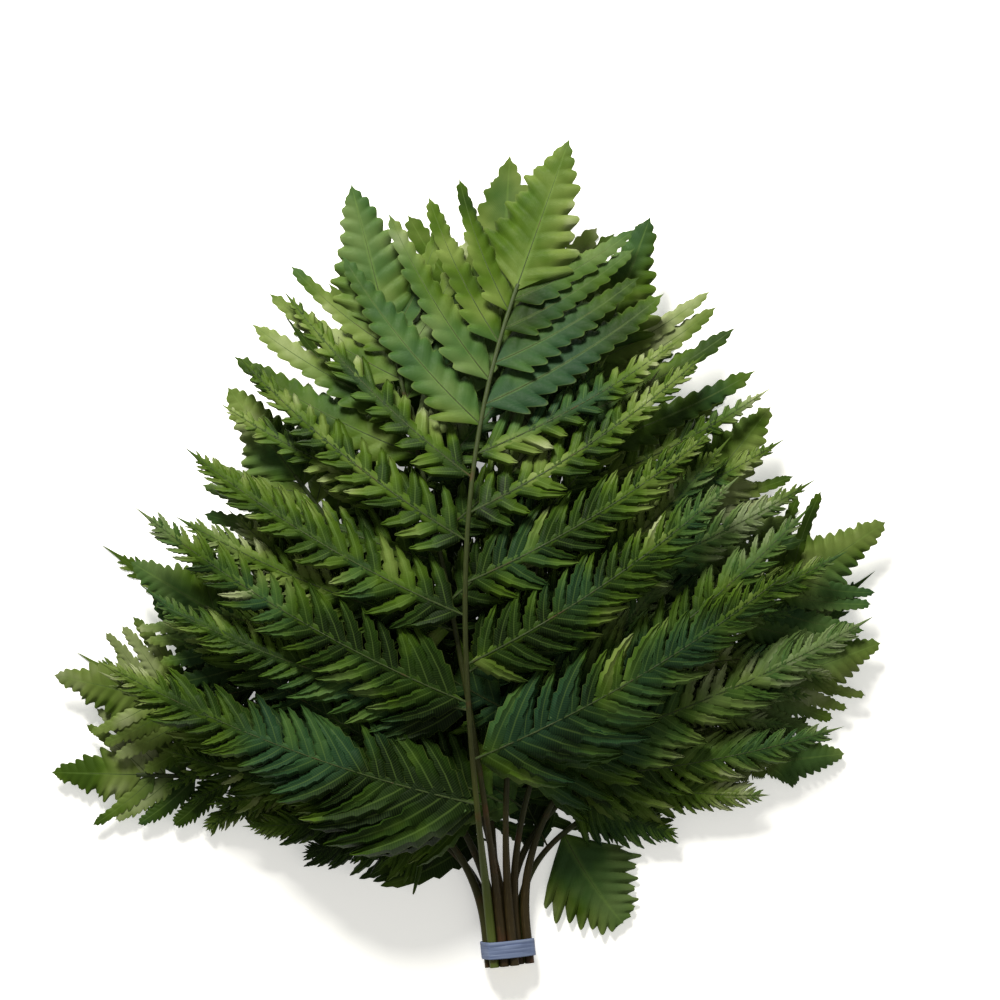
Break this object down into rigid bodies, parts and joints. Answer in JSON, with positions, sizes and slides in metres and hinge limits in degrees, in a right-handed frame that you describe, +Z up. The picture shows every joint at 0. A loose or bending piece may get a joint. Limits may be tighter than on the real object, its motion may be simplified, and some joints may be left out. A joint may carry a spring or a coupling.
{
  "type": "bunch of leatherleaf fern fronds",
  "caption": "Tied bunch of cut fern fronds with toothed, leathery green leaflets, lying flat as greenery for a bouquet, wreath or table.",
  "frame": {"origin": "middle of the bounding box's base, on the surface that the bunch lies on", "axes": "+X across the bunch to the right as seen from above, +Y from the cut ends of the stems to the tips of the fronds, +Z up from the surface, the side that the fronds' upper faces look to"},
  "size_m": [0.4216, 0.417, 0.0685],
  "materials": {
    "leaf": "leathery leaf with a soft satin sheen, paler and matt underneath",
    "stem": "grooved olive-brown fern stalk, satin",
    "tie": "pale matt band, faintly blue"
  },
  "bodies": {
    "root": {"frond_01": "leaf", "frond_02": "leaf", "frond_03": "leaf", "frond_04": "leaf", "frond_05": "leaf", "frond_06": "leaf", "frond_07": "leaf", "frond_08": "leaf", "frond_09": "leaf", "frond_10": "leaf", "frond_11": "leaf", "frond_12": "leaf", "tie": "tie"}
  },
  "joints": []
}
